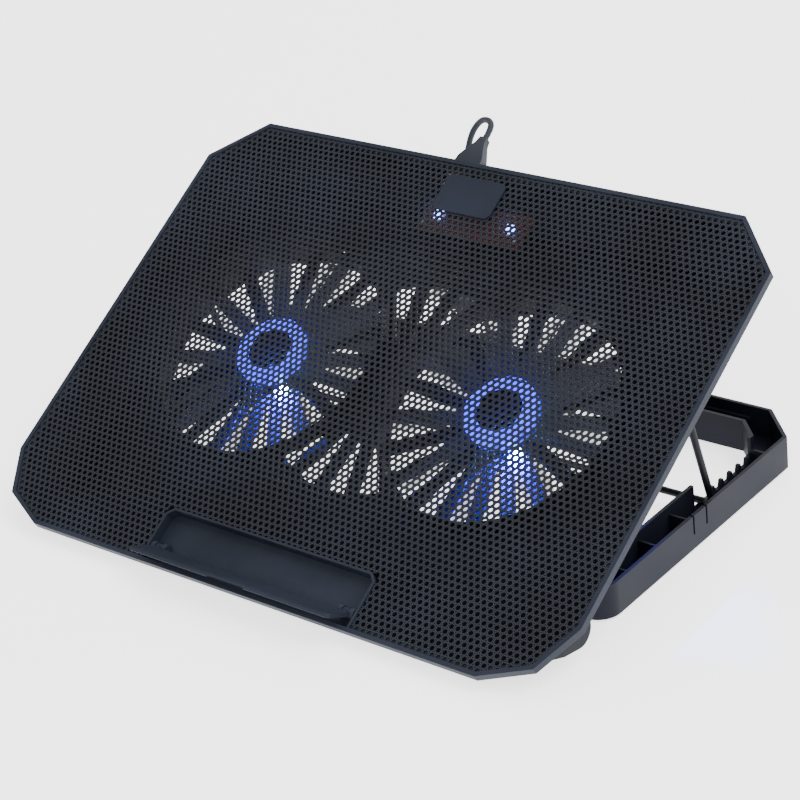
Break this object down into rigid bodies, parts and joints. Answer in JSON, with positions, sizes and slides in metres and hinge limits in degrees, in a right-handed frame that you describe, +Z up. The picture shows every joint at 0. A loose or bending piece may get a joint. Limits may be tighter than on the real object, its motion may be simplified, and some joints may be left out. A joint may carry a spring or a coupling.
{
  "type": "laptop cooling pad",
  "caption": "Tilted mesh laptop stand with two lit fans under the mesh, a fold-up stopper, a wire prop and a ring base.",
  "frame": {"origin": "middle of the box round the object without its lead, at desk height", "axes": "+Z up, +X to the user's right, +Y away from the user"},
  "size_m": [0.37, 0.3407, 0.1559],
  "materials": {
    "black_plastic": "fine moulded grain",
    "grey_plastic": "fine moulded grain",
    "painted_mesh": "powder coated perforated steel",
    "badge_plate": "brushed, blank",
    "clear_plastic": "smoky transparent plastic",
    "cap_film": "printed film",
    "steel": "drawn steel",
    "black_wire": "painted steel wire",
    "bronze": "sintered bronze",
    "copper": "enamelled copper winding",
    "board": "solder mask",
    "led": "clear lens, lit blue",
    "nickel": "nickel plated steel",
    "black_rubber": "soft rubber",
    "cord_jacket": "soft PVC jacket"
  },
  "bodies": {
    "stand": {"stand_frame": "grey_plastic", "rubber_feet": "black_rubber", "lead_cord": "cord_jacket", "lead_coil": "cord_jacket", "lead_tie": "black_plastic", "far_plug_shell": "nickel", "far_plug_moulding": "cord_jacket"},
    "pad": {"bezel_frame": "black_plastic", "mesh_panel": "painted_mesh", "badge": "badge_plate", "stopper_pins": "steel", "bottom_housing": "grey_plastic", "hinge_pins": "steel", "hub_board": "board", "board_screws": "steel", "board_leds": "led", "input_socket": "nickel", "spare_socket": "nickel", "power_switch_body": "black_plastic", "lead_plug_shell": "nickel", "lead_plug_moulding": "cord_jacket", "left_fan_bearing": "bronze", "left_fan_board": "board", "left_fan_stator": "copper", "left_fan_led": "led", "left_fan_wire": "cord_jacket", "right_fan_bearing": "bronze", "right_fan_board": "board", "right_fan_stator": "copper", "right_fan_led": "led", "right_fan_wire": "cord_jacket"},
    "left_rotor": {"left_fan_rotor": "clear_plastic", "left_hub_cap": "cap_film", "left_fan_shaft": "steel"},
    "right_rotor": {"right_fan_rotor": "clear_plastic", "right_hub_cap": "cap_film", "right_fan_shaft": "steel"},
    "stopper": {"stopper_flap": "black_plastic"},
    "switch_knob": {"power_switch_slider": "black_plastic"},
    "bail": {"bail": "black_wire"}
  },
  "joints": [
    {"name": "pad_tilt", "type": "hinge", "parent": "stand", "child": "pad", "pos_m": [0, -0.08478, 0.017], "axis": [1, 0, 0], "range_deg": [0, 3.5]},
    {"name": "bail_swing", "type": "hinge", "parent": "pad", "child": "bail", "pos_m": [0, 0.03205, 0.08466], "axis": [1, 0, 0], "range_deg": [0, 104]},
    {"name": "stopper_flip", "type": "hinge", "parent": "pad", "child": "stopper", "pos_m": [0, -0.1174, 0.01032], "axis": [1, 0, 0], "range_deg": [-122, 0]},
    {"name": "left_fan_spin", "type": "hinge", "parent": "pad", "child": "left_rotor", "pos_m": [-0.07625, -0.00239, 0.06785], "axis": [0, -0.5075, 0.8616], "continuous": true},
    {"name": "right_fan_spin", "type": "hinge", "parent": "pad", "child": "right_rotor", "pos_m": [0.07625, -0.00239, 0.06785], "axis": [0, -0.5075, 0.8616], "continuous": true},
    {"name": "power_switch_slide", "type": "slide", "parent": "pad", "child": "switch_knob", "axis": [1, 0, 0], "range_m": [0, 0.003]}
  ]
}
